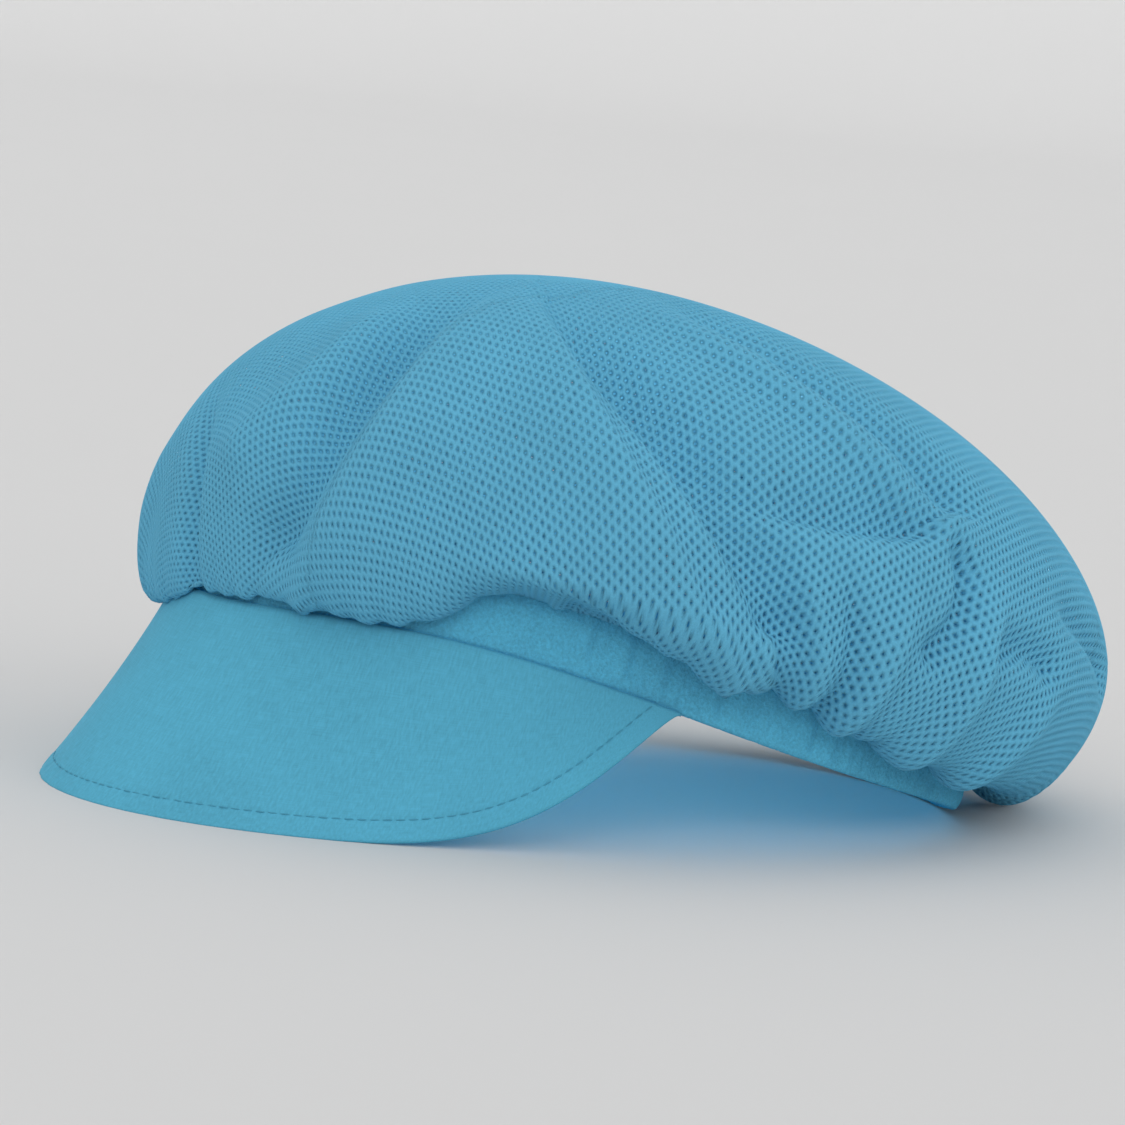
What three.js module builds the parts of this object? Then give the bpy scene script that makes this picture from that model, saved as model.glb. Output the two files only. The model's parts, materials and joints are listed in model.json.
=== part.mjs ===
// A mesh work cap with a soft drooping visor, built as three separate pieces of cloth:
// a narrow gathered band that goes round the head, a round mesh crown puffed out over it,
// and a doubled woven visor sewn to the front half of the band.
//
// Every surface is first worked out in the cap's own frame: the sewing line round the head
// lies close to the plane z = 0, +Z points out of the top of the head, -Y to the wearer's
// front and +X to the wearer's left. An azimuth runs round the head from 0 at the front
// through 90 at the wearer's left. The whole cap is then tipped until it rests by itself
// on the hem at the back and on the visor's lower edge. Sizes are millimetres.
import * as THREE from 'three';

// ---- driving dimensions ---------------------------------------------------------------
const DEGREE = Math.PI / 180;

// Sewing line: an egg-shaped loop, wider at the back, that arches over the ears.
const HEAD_HALF_LENGTH = 103.3;
const HEAD_HALF_WIDTH = 82;
const HEAD_EGG = -0.05;
const EAR_ARCH = 4.8;
const TEMPLE_WAVE = 1.9;
const BROW_DIP = -1.5;

const BAND_HEIGHT = 12;
const BAND_WALL = 2.2;
const CROWN_WALL = 1.2;
const VISOR_WALL = 1.6;
const SEAM_GAP = 0.3;

// Crown: a dome whose sides bulge out over the band, most of all at the back.
const CROWN_HEIGHT = 101;
const CROWN_CENTRE_Y = 5.3;
const CROWN_TOP_FULLNESS = 0.6;
const CROWN_SEAM_RISE = 2.3;
const WIDEST_AT = 0.3;

// One row per azimuth, mirrored to the wearer's right: how far the widest line stands out
// from the sewing line, how high it lies, how far the cloth sags below its seam before it
// turns up, and how straight it rises from the widest line.
const CROWN_PROFILE = [
  { azimuth: 0, overhang: 13.2, widestHeight: 23.5, sag: 3, rise: 0.4 },
  { azimuth: 45, overhang: 15.5, widestHeight: 26.5, sag: 10, rise: 0.49 },
  { azimuth: 90, overhang: 18.8, widestHeight: 30, sag: 6, rise: 0.49 },
  { azimuth: 135, overhang: 22, widestHeight: 33.5, sag: 8, rise: 0.465 },
  { azimuth: 180, overhang: 32, widestHeight: 40, sag: 24, rise: 0.44 },
];

// Folds of the crown. Each runs from one place on the dome through a second to a third;
// a place is an azimuth and a share of the way up from the band (0) to the top (1).
// A positive height is a ridge, a negative one a valley.
const CROWN_FOLDS = [
  { name: 'front ridge', from: [2, 0.76], through: [28, 0.52], to: [28, 0.12], width: 10, height: 5 },
  { name: 'front valley', from: [6, 0.66], through: [17, 0.46], to: [20, 0.2], width: 9, height: -4 },
  { name: 'brow valley', from: [-8, 0.46], through: [0, 0.3], to: [2, 0.12], width: 8, height: -4 },
  { name: 'side ridge', from: [33, 0.76], through: [71, 0.5], to: [89, 0.14], width: 11, height: 5 },
  { name: 'side trough', from: [44, 0.8], through: [73, 0.63], to: [88, 0.5], width: 13, height: -6 },
  { name: 'shelf', from: [82, 0.46], through: [101, 0.47], to: [107, 0.3], width: 9, height: -4 },
  { name: 'rear ridge', from: [30, 0.9], through: [100, 0.83], to: [127, 0.56], width: 16, height: 5 },
  { name: 'rear lobe', from: [92, 0.4], through: [95, 0.3], to: [96, 0.16], width: 9, height: 4 },
  { name: 'first gather', from: [104, 0.4], through: [103, 0.25], to: [103, 0.1], width: 7, height: 3 },
  { name: 'second gather', from: [118, 0.46], through: [112, 0.3], to: [112, 0.1], width: 8, height: 4 },
  { name: 'third gather', from: [134, 0.4], through: [127, 0.25], to: [128, 0.1], width: 9, height: 4 },
  { name: 'rear dent', from: [150, 0.5], through: [146, 0.35], to: [146, 0.15], width: 10, height: -4 },
  { name: 'nape gather', from: [172, 0.5], through: [170, 0.3], to: [168, 0.1], width: 9, height: 4 },
  { name: 'right rear dent', from: [205, 0.62], through: [198, 0.4], to: [196, 0.16], width: 11, height: -5 },
  { name: 'right rear ridge', from: [250, 0.8], through: [226, 0.5], to: [220, 0.12], width: 11, height: 5 },
  { name: 'right trough', from: [284, 0.78], through: [258, 0.5], to: [248, 0.16], width: 12, height: -6 },
  { name: 'right side ridge', from: [316, 0.8], through: [284, 0.5], to: [276, 0.14], width: 11, height: 5 },
  { name: 'right front valley', from: [330, 0.64], through: [312, 0.42], to: [306, 0.16], width: 10, height: -5 },
  { name: 'brow fold', from: [338, 0.34], through: [330, 0.2], to: [328, 0.1], width: 9, height: 4 },
];

// Visor: sewn to the sewing line between two equal azimuths and hanging steeply from it.
const VISOR_END = 80;
const VISOR_DEPTH = 55.6;
const VISOR_SIDE_SHORTENING = 0.342;
const VISOR_END_DEPTH = 1.2;
const VISOR_CORNER_POWER = 8.2;
const VISOR_CORNER_ROUNDING = 0.716;
const VISOR_DROOP_FRONT = 74.6;
const VISOR_DROOP_SIDE = 88;
const VISOR_DROOP_WAVE = 27.5;
const VISOR_FLARE = 5.7;
const VISOR_LAP = 2.5;

// Rest: the cap's front stays tipped up by this much, and the floor takes up the last
// fraction of a millimetre of the soft hem and of the visor's edge.
const REST_PITCH = 13.4;
const FLOOR_DEPTH = 22.8;

// How finely the cloth is faceted.
const ROUND_STEPS = 80;
const BULGE_ROWS = 7;
const DOME_ROWS = 15;
const BAND_ROWS = 3;
const VISOR_STEPS = 36;
const VISOR_ROWS = 6;
const FOLD_STEPS = 14;

// ---- small helpers --------------------------------------------------------------------
const cubic = (s, a, b, c, d) => {
  const r = 1 - s;
  return r * r * r * a + 3 * r * r * s * b + 3 * r * s * s * c + s * s * s * d;
};

// A column of the profile table at any azimuth, along a smooth periodic curve.
function profileAt(column, azimuth) {
  const step = CROWN_PROFILE[1].azimuth;
  const last = CROWN_PROFILE.length - 1;
  const around = ((azimuth % 360) + 360) % 360 / step;
  const index = Math.floor(around);
  const value = (k) => {
    const m = ((k % (2 * last)) + 2 * last) % (2 * last);
    return CROWN_PROFILE[m <= last ? m : 2 * last - m][column];
  };
  const [p0, p1, p2, p3] = [index - 1, index, index + 1, index + 2].map(value);
  return cubic(around - index, p1, p1 + (p2 - p0) / 6, p2 - (p3 - p1) / 6, p2);
}

// ---- the sewing line ------------------------------------------------------------------
function sewingLine(azimuth) {
  const t = azimuth * DEGREE;
  return new THREE.Vector3(
    HEAD_HALF_WIDTH * Math.sin(t) * (1 + HEAD_EGG * Math.cos(t)),
    -HEAD_HALF_LENGTH * Math.cos(t),
    EAR_ARCH * (1 - Math.cos(2 * t)) / 2
      + TEMPLE_WAVE * (1 - Math.cos(4 * t)) / 2
      + BROW_DIP * (Math.cos(3 * t) - Math.cos(t)),
  );
}

function outwardFromHead(azimuth) {
  const t = azimuth * DEGREE;
  return new THREE.Vector3(Math.sin(t) / HEAD_HALF_WIDTH, -Math.cos(t) / HEAD_HALF_LENGTH, 0)
    .normalize();
}

// ---- surfaces: the middle of each piece of cloth --------------------------------------
const BAND_INSET = BAND_WALL / 2 + SEAM_GAP + VISOR_WALL / 2;

function bandPoint(azimuth, up) {
  const point = sewingLine(azimuth).addScaledVector(outwardFromHead(azimuth), -BAND_INSET);
  point.z += up * BAND_HEIGHT;
  return point;
}

function smoothCrownPoint(azimuth, up) {
  const seam = bandPoint(azimuth, 1);
  const seamZ = seam.z + CROWN_SEAM_RISE;
  const seamRadius = Math.hypot(seam.x, seam.y - CROWN_CENTRE_Y);
  const overhang = profileAt('overhang', azimuth) + BAND_INSET;
  const widestZ = profileAt('widestHeight', azimuth);
  const sag = profileAt('sag', azimuth);
  const rise = profileAt('rise', azimuth);
  const widest = seamRadius + overhang;
  let radius;
  let z;
  if (up < WIDEST_AT) {
    const s = up / WIDEST_AT;
    const turnZ = widestZ - 0.55 * (widestZ - seamZ) - 0.3 * sag;
    radius = cubic(s, seamRadius, seamRadius + 0.6 * overhang, widest, widest);
    z = cubic(s, seamZ, seamZ - sag, turnZ, widestZ);
  } else {
    const s = (up - WIDEST_AT) / (1 - WIDEST_AT);
    const riseZ = widestZ + rise * (CROWN_HEIGHT - widestZ);
    radius = cubic(s, widest, widest, widest * CROWN_TOP_FULLNESS, 0);
    z = cubic(s, widestZ, riseZ, CROWN_HEIGHT, CROWN_HEIGHT);
  }
  const share = radius / seamRadius;
  return new THREE.Vector3(
    seam.x * share,
    CROWN_CENTRE_Y + (seam.y - CROWN_CENTRE_Y) * share,
    z,
  );
}

// A fold's line over the smooth dome, as a chain of short straight steps.
function foldLine({ from, through, to }) {
  const line = [];
  for (let i = 0; i <= FOLD_STEPS; i += 1) {
    const s = i / FOLD_STEPS;
    const bend = (k) => {
      const middle = 2 * through[k] - (from[k] + to[k]) / 2;
      return (1 - s) * (1 - s) * from[k] + 2 * s * (1 - s) * middle + s * s * to[k];
    };
    line.push(smoothCrownPoint(bend(0), bend(1)));
  }
  return line;
}

const FOLD_LINES = CROWN_FOLDS.map((fold) => ({ ...fold, line: foldLine(fold) }));

function foldHeight(point) {
  let height = 0;
  const nearest = new THREE.Vector3();
  for (const fold of FOLD_LINES) {
    let distance = Infinity;
    for (let i = 0; i < FOLD_STEPS; i += 1) {
      const step = new THREE.Line3(fold.line[i], fold.line[i + 1]);
      step.closestPointToPoint(point, true, nearest);
      distance = Math.min(distance, nearest.distanceTo(point));
    }
    height += fold.height * Math.exp(-((distance / fold.width) ** 2));
  }
  return height;
}

// The folds fade out over the seam, so the crown's edge keeps to the band.
function foldFade(up) {
  return THREE.MathUtils.smoothstep(up, 0, 0.12);
}

function visorPoint(azimuth, down) {
  const u = Math.abs(azimuth) / VISOR_END;
  const corner = Math.max(0, 1 - u ** VISOR_CORNER_POWER) ** (1 / VISOR_CORNER_ROUNDING);
  const fullDepth = VISOR_DEPTH * corner * (1 - VISOR_SIDE_SHORTENING * u * u);
  const depth = Math.max(fullDepth, VISOR_END_DEPTH);
  const droop = DEGREE * (VISOR_DROOP_FRONT
    + (VISOR_DROOP_SIDE - VISOR_DROOP_FRONT) * u * u
    + VISOR_DROOP_WAVE * (u ** 2 - u ** 4));
  const outward = outwardFromHead(azimuth);
  const length = depth * Math.max(down, 0);
  const flare = VISOR_FLARE * (depth / VISOR_DEPTH) * Math.max(down, 0) ** 2;
  const point = sewingLine(azimuth);
  point.addScaledVector(outward, length * Math.cos(droop) + flare);
  point.z -= length * Math.sin(droop) + VISOR_LAP * Math.min(down, 0);
  return point;
}

// ---- from a surface to a wall of cloth ------------------------------------------------
// Tips a point from the cap's own frame to the way the cap rests, with the floor at z = 0.
function atRest(point) {
  return point.applyAxisAngle(new THREE.Vector3(1, 0, 0), -REST_PITCH * DEGREE)
    .add(new THREE.Vector3(0, 0, FLOOR_DEPTH));
}

function gridNormals(rows, closed) {
  const normals = rows.map((row) => row.map(() => new THREE.Vector3()));
  const wrap = (row, i) => (row.length === 1 ? 0 : i % row.length);
  const across = rows[0].length - (closed ? 0 : 1);
  for (let j = 0; j + 1 < rows.length; j += 1) {
    for (let i = 0; i < across; i += 1) {
      const corners = [[j, i], [j, i + 1], [j + 1, i + 1], [j + 1, i]]
        .map(([row, k]) => [row, wrap(rows[row], k)]);
      const [a, b, c, d] = corners.map(([row, k]) => rows[row][k]);
      const normal = new THREE.Vector3().subVectors(c, a)
        .cross(new THREE.Vector3().subVectors(d, b));
      for (const [row, k] of corners) {
        normals[row][k].add(normal);
      }
    }
  }
  return normals.map((row) => row.map((normal) => normal.normalize()));
}

// Turns rows of points on the middle of the cloth into a closed wall. Rows run upwards,
// points in a row anticlockwise seen from above, and a row of one point is a pole.
function clothWall(rows, wall, closed) {
  const normals = gridNormals(rows, closed);
  const positions = [];
  const index = [];
  const place = (side) => rows.map((row, j) => row.map((point, i) => {
    const moved = point.clone().addScaledVector(normals[j][i], side * wall / 2);
    positions.push(moved.x, moved.y, Math.max(moved.z, 0));
    return positions.length / 3 - 1;
  }));
  const outer = place(1);
  const inner = place(-1);
  const triangle = (a, b, c) => {
    if (a !== b && b !== c && c !== a) {
      index.push(a, b, c);
    }
  };
  const apart = (a, b) => Math.hypot(
    ...[0, 1, 2].map((k) => positions[3 * a + k] - positions[3 * b + k]),
  );
  // A four-sided patch is split along its shorter diagonal, which keeps slanting folds smooth.
  const quad = (a, b, c, d) => {
    if (apart(a, c) <= apart(b, d)) {
      triangle(a, b, c);
      triangle(a, c, d);
    } else {
      triangle(a, b, d);
      triangle(b, c, d);
    }
  };
  const at = (row, i) => row[row.length === 1 ? 0 : i % row.length];
  const across = rows[0].length - (closed ? 0 : 1);
  const top = rows.length - 1;
  for (let j = 0; j < top; j += 1) {
    for (let i = 0; i < across; i += 1) {
      const k = i + 1;
      quad(at(outer[j], i), at(outer[j], k), at(outer[j + 1], k), at(outer[j + 1], i));
      quad(at(inner[j], k), at(inner[j], i), at(inner[j + 1], i), at(inner[j + 1], k));
    }
    if (!closed) {
      quad(inner[j][0], outer[j][0], outer[j + 1][0], inner[j + 1][0]);
      quad(outer[j][across], inner[j][across], inner[j + 1][across], outer[j + 1][across]);
    }
  }
  for (let i = 0; i < across; i += 1) {
    const k = i + 1;
    quad(at(inner[0], i), at(inner[0], k), at(outer[0], k), at(outer[0], i));
    if (rows[top].length > 1) {
      quad(at(outer[top], i), at(outer[top], k), at(inner[top], k), at(inner[top], i));
    }
  }
  const geometry = new THREE.BufferGeometry();
  geometry.setAttribute('position', new THREE.Float32BufferAttribute(positions, 3));
  geometry.setIndex(index);
  geometry.computeVertexNormals();
  return geometry;
}

function clothMesh(name, geometry, colour, roughness) {
  const material = new THREE.MeshStandardMaterial({ color: colour, roughness, metalness: 0 });
  const mesh = new THREE.Mesh(geometry, material);
  mesh.name = name;
  return mesh;
}

const roundAzimuths = Array.from({ length: ROUND_STEPS }, (_, i) => 360 * i / ROUND_STEPS);

// ---- the three pieces -----------------------------------------------------------------
function makeBand() {
  const rows = [];
  for (let j = 0; j <= BAND_ROWS; j += 1) {
    rows.push(roundAzimuths.map((azimuth) => atRest(bandPoint(azimuth, j / BAND_ROWS))));
  }
  return clothMesh('band', clothWall(rows, BAND_WALL, true), '#4fa7c7', 0.9);
}

function makeCrown() {
  const shares = [];
  for (let j = 0; j < BULGE_ROWS; j += 1) {
    shares.push(WIDEST_AT * j / BULGE_ROWS);
  }
  for (let j = 0; j < DOME_ROWS; j += 1) {
    shares.push(WIDEST_AT + (1 - WIDEST_AT) * j / DOME_ROWS);
  }
  const rows = shares.map((up) => roundAzimuths.map((azimuth) => smoothCrownPoint(azimuth, up)));
  rows.push([smoothCrownPoint(0, 1)]);
  const normals = gridNormals(rows, true);
  rows.forEach((row, j) => {
    const fade = foldFade(shares[j] ?? 1);
    row.forEach((point, i) => {
      point.addScaledVector(normals[j][i], fade * foldHeight(point));
      atRest(point);
    });
  });
  return clothMesh('crown', clothWall(rows, CROWN_WALL, true), '#559cbb', 0.9);
}

function makeVisor() {
  const rows = [];
  for (let j = VISOR_ROWS; j >= -1; j -= 1) {
    const down = j < 0 ? -1 : j / VISOR_ROWS;
    const row = [];
    for (let i = 0; i <= VISOR_STEPS; i += 1) {
      const azimuth = VISOR_END * (2 * i / VISOR_STEPS - 1);
      row.push(atRest(visorPoint(azimuth, down)));
    }
    rows.push(row);
  }
  return clothMesh('visor', clothWall(rows, VISOR_WALL, false), '#54a9c6', 0.85);
}

const cap = new THREE.Group();
cap.add(makeBand(), makeCrown(), makeVisor());

// The origin is on the floor, under the middle of the cap's box.
const box = new THREE.Box3().setFromObject(cap);
cap.position.set(-(box.min.x + box.max.x) / 2, -(box.min.y + box.max.y) / 2, -box.min.z);

export default cap;
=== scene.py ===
# %% [markdown]
# # A mesh work cap with a soft visor
#
# The cap is three pieces of cloth. A round piece of open net is gathered into a narrow band,
# the band holds the elastic that grips the head, and a doubled woven visor is sewn to the
# front of the band. Nothing on it is stiff, so every shape here is a shape that cloth takes.
#
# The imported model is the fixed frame: it says where each piece of cloth is and how big it is.
# This lesson remakes each piece as real cloth in the same place: a net with real holes, a
# casing with small gathers, and a visor with a turned edge and a row of stitches.

# %% Load the fixed frame
import json
import math
import bmesh
import bpy
import numpy as np
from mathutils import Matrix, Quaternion, Vector


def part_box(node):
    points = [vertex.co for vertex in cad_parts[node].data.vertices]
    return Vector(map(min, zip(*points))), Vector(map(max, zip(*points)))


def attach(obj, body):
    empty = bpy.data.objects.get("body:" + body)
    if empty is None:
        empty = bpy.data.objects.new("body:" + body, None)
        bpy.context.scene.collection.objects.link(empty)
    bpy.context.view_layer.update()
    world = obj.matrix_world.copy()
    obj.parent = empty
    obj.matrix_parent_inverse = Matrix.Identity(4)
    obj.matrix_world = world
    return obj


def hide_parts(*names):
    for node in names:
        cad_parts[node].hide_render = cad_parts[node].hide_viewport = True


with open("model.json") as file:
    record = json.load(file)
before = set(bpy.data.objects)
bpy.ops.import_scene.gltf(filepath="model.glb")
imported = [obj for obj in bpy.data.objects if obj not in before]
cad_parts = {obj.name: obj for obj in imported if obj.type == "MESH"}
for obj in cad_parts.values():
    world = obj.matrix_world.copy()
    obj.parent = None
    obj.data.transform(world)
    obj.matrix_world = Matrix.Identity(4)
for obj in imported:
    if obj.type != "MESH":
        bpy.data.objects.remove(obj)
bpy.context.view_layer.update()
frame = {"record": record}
MM = 0.001

# %% [markdown]
# ## The camera
#
# The cap is seen from its own left and a little in front, from not far above the table, with
# a long lens so that the visor and the back of the crown keep their true proportions. A
# camera can be aimed by hand, but a view given as an azimuth, an elevation and a distance
# from the middle of the head stays right when the cap is edited, so that is used. The small
# roll is how the cap sits in the frame: its front is held up a little.

# %% Where the head's middle is
HEAD_HALF_LENGTH = 103.3
HEAD_HALF_WIDTH = 82.0
HEAD_HEIGHT = 22.8
TIP_SHIFT = 1.39
REST_PITCH = math.radians(13.4)
band_middle = [500 * (a + b) for a, b in zip(*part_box("band"))]
# Tipping the cap about its head's middle moves the band's middle back by the shift.
HEAD_PLACE = np.array([band_middle[0], band_middle[1] - TIP_SHIFT, HEAD_HEIGHT])
print("middle of the head, mm:", HEAD_PLACE.round(2))

# %% Make the camera
VIEW_AZIMUTH = 60.91
VIEW_ELEVATION = 6.73
VIEW_ROLL = 5.21
CAMERA_PLACE = np.array([1121.9, -630.2, 185.0])
LENS = 171.27
SENSOR_WIDTH = 36


def place_in_scene(name, data):
    """A new object that holds the data, in the scene."""
    made = bpy.data.objects.new(name, data)
    bpy.context.scene.collection.objects.link(made)
    return made


def direction(azimuth, elevation):
    """The way towards a viewer or a light, from angles in degrees."""
    a = math.radians(azimuth)
    e = math.radians(elevation)
    return Vector((math.sin(a) * math.cos(e), -math.cos(a) * math.cos(e), math.sin(e)))


def aim(thing, back, roll=0):
    """Turns a camera or a light so that it looks against the given direction."""
    spin = Quaternion((0, 0, 1), math.radians(roll))
    thing.rotation_mode = "QUATERNION"
    thing.rotation_quaternion = (-back).to_track_quat("-Z", "Y") @ spin


def make_camera():
    data = bpy.data.cameras.new("camera")
    data.lens = LENS
    data.sensor_width = SENSOR_WIDTH
    data.clip_start = 0.05
    data.clip_end = 60
    camera = place_in_scene("camera", data)
    aim(camera, direction(VIEW_AZIMUTH, VIEW_ELEVATION), VIEW_ROLL)
    camera.location = Vector((HEAD_PLACE + CAMERA_PLACE) * MM)
    bpy.context.scene.camera = camera
    print("camera, mm from the floor:", round(1000 * camera.location[2], 1))


make_camera()

# %% [markdown]
# ## Rules for the cloth's shape
#
# The whole cap follows a few smooth rules, worked out with the head upright and then tipped
# until the cap rests on its hem and its visor. A point on the crown has an azimuth, which is
# 0 at the wearer's front and 90 at the wearer's left, and a share of the way up, from 0 at
# the band to 1 at the top. Sculpting would also give a dome, but rules like these can be
# asked for a point anywhere, as finely as the net needs.

# %% Small helpers for smooth curves

RIPPLE_SPREAD = 0.16


def cubic(s, a, b, c, d):
    """A Bezier curve from a to d that b and c pull on, at the share s of its way."""
    r = 1 - s
    return r ** 3 * a + 3 * r * r * s * b + 3 * r * s * s * c + s ** 3 * d


def smoothstep(x, low, high):
    """0 below low, 1 above high, and an S-curve between them."""
    s = np.clip((x - low) / (high - low), 0, 1)
    return s * s * (3 - 2 * s)


def unit(v):
    return v / np.maximum(np.linalg.norm(v, axis=-1, keepdims=True), 1e-9)


def around(places, values, azimuth):
    """A value given at a few azimuths, read at any azimuth on a smooth closed curve."""
    places = np.array([places[-1] - 360, *places, places[0] + 360, places[1] + 360], float)
    values = np.array([values[-1], *values, values[0], values[1]], float)
    slopes = np.gradient(values, places)
    at = np.asarray(azimuth, float) % 360
    k = np.clip(np.searchsorted(places, at, side="right") - 1, 0, len(places) - 2)
    span = places[k + 1] - places[k]
    s = (at - places[k]) / span
    a, b = values[k], values[k + 1]
    return cubic(s, a, a + slopes[k] * span / 3, b - slopes[k + 1] * span / 3, b)


def ripple(x, seed, waves):
    """Seeded gentle noise along a closed line: x runs from 0 to 1."""
    rng = np.random.default_rng(seed)
    total = np.zeros_like(x)
    for wave in waves:
        turns = np.round(rng.normal(wave, wave * RIPPLE_SPREAD))
        total += rng.uniform(0.5, 1) * np.sin(2 * np.pi * (turns * x + rng.uniform()))
    return total / len(waves)


# %% The sewing line and the band

# The sewing line is the band's lower edge. It arches over the ears, waves at the temples
# and dips at the brow, and the head is a little wider behind than in front.
EAR_ARCH = 4.8
TEMPLE_WAVE = 1.9
BROW_DIP = -1.5
HEAD_EGG = -0.05
BAND_HEIGHT = 12.0
BAND_INSET = 2.2


def sewing_line(azimuth):
    t = np.radians(azimuth)
    x = HEAD_HALF_WIDTH * np.sin(t) * (1 + HEAD_EGG * np.cos(t))
    y = -HEAD_HALF_LENGTH * np.cos(t)
    z = EAR_ARCH * (1 - np.cos(2 * t)) / 2
    z = z + TEMPLE_WAVE * (1 - np.cos(4 * t)) / 2
    z = z + BROW_DIP * (np.cos(3 * t) - np.cos(t))
    return np.stack([x, y, z], -1)


def outward(azimuth):
    t = np.radians(azimuth)
    flat = [np.sin(t) / HEAD_HALF_WIDTH, -np.cos(t) / HEAD_HALF_LENGTH, 0 * t]
    return unit(np.stack(flat, -1))


def band_point(azimuth, up):
    point = sewing_line(azimuth) - outward(azimuth) * BAND_INSET
    point[..., 2] += up * BAND_HEIGHT
    return point


def at_rest(point):
    """Tips a point from the upright head to the cap's rest, in the fixed frame."""
    c = math.cos(-REST_PITCH)
    s = math.sin(-REST_PITCH)
    y = point[..., 1] * c - point[..., 2] * s
    z = point[..., 1] * s + point[..., 2] * c
    return np.stack([point[..., 0], y, z], -1) + HEAD_PLACE


# %% The crown before it folds

CROWN_HEIGHT = 101.0
CROWN_CENTRE_Y = 5.3
CROWN_TOP_FULLNESS = 0.6
CROWN_SEAM_RISE = 2.3
WIDEST_AT = 0.3
TURN_DROP = 0.55
TURN_SAG = 0.3
# One column for each azimuth. The overhang is how far the crown stands out past the band at
# its widest, and the widest height is where that is. The sag is how hard the cloth hangs down
# over the band, and the tuck is the share of the overhang at which it does. The rise is how
# far up the dome stays steep. Over the visor the crown hangs down close to the band and hides
# it. Behind the temples it lifts off.
CROWN_PROFILE = {
    "azimuth": (0, 16, 30, 44, 54, 90, 112, 140, 180, 225, 270, 310, 332, 345),
    "overhang": (9.5, 9.5, 12.4, 14.8, 16.2, 18.8, 20, 22.8, 31.5, 22, 18.8, 15, 12.6, 11),
    "widest_height": (27, 28, 27, 26.5, 26.5, 30, 31.5, 34, 40, 33.5, 30, 27, 26.5, 26.5),
    "sag": (32, 28, 23, 25, 3, 7, 16, 17, 17, 14, 8, 24, 45, 43),
    "rise": (0.475, 0.49, 0.49, 0.49, 0.49, 0.49, 0.48, 0.463, 0.44, 0.465, 0.49, 0.49, 0.485, 0.48),
    "tuck": (0.28, 0.3, 0.31, 0.38, 0.6, 0.6, 0.6, 0.6, 0.6, 0.6, 0.6, 0.6, 0.45, 0.3),
}


def profile(name, azimuth):
    return around(CROWN_PROFILE["azimuth"], CROWN_PROFILE[name], azimuth)


def crown_section(azimuth, up, seam_radius, seam_z):
    """The dome's radius and height: one curve up to its widest place and one above it."""
    overhang = profile("overhang", azimuth) + BAND_INSET
    wide_z = profile("widest_height", azimuth)
    sag = profile("sag", azimuth)
    wide = seam_radius + overhang
    low = np.clip(up / WIDEST_AT, 0, 1)
    turn_z = wide_z - TURN_DROP * (wide_z - seam_z) - TURN_SAG * sag
    tucked = seam_radius + profile("tuck", azimuth) * overhang
    low_radius = cubic(low, seam_radius, tucked, wide, wide)
    low_z = cubic(low, seam_z, seam_z - sag, turn_z, wide_z)
    high = np.clip((up - WIDEST_AT) / (1 - WIDEST_AT), 0, 1)
    rise_z = wide_z + profile("rise", azimuth) * (CROWN_HEIGHT - wide_z)
    high_radius = cubic(high, wide, wide, wide * CROWN_TOP_FULLNESS, 0 * wide)
    high_z = cubic(high, wide_z, rise_z, CROWN_HEIGHT, CROWN_HEIGHT)
    below = up < WIDEST_AT
    return np.where(below, low_radius, high_radius), np.where(below, low_z, high_z)


def crown_point(azimuth, up):
    azimuth, up = np.broadcast_arrays(np.asarray(azimuth, float), np.asarray(up, float))
    seam = band_point(azimuth, 1)
    seam_z = seam[..., 2] + CROWN_SEAM_RISE
    seam_radius = np.hypot(seam[..., 0], seam[..., 1] - CROWN_CENTRE_Y)
    radius, z = crown_section(azimuth, up, seam_radius, seam_z)
    share = radius / seam_radius
    y = CROWN_CENTRE_Y + (seam[..., 1] - CROWN_CENTRE_Y) * share
    return np.stack([seam[..., 0] * share, y, z], -1)


print("widest at the left, mm:", crown_point(90, WIDEST_AT).round(1))

# %% [markdown]
# ## Folds
#
# A crown like this is a flat disc of net gathered into a ring half its size round, so the
# spare cloth stands up in folds. The big ones could come from a cloth simulation, but then
# they fall where the solver likes. Here each fold is a line over the dome, from one place
# through a second to a third, and the cloth is raised or sunk along it. Small gathers near
# the band are a seeded ripple that dies out as the cloth gets room.

# %% The table of folds

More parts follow.
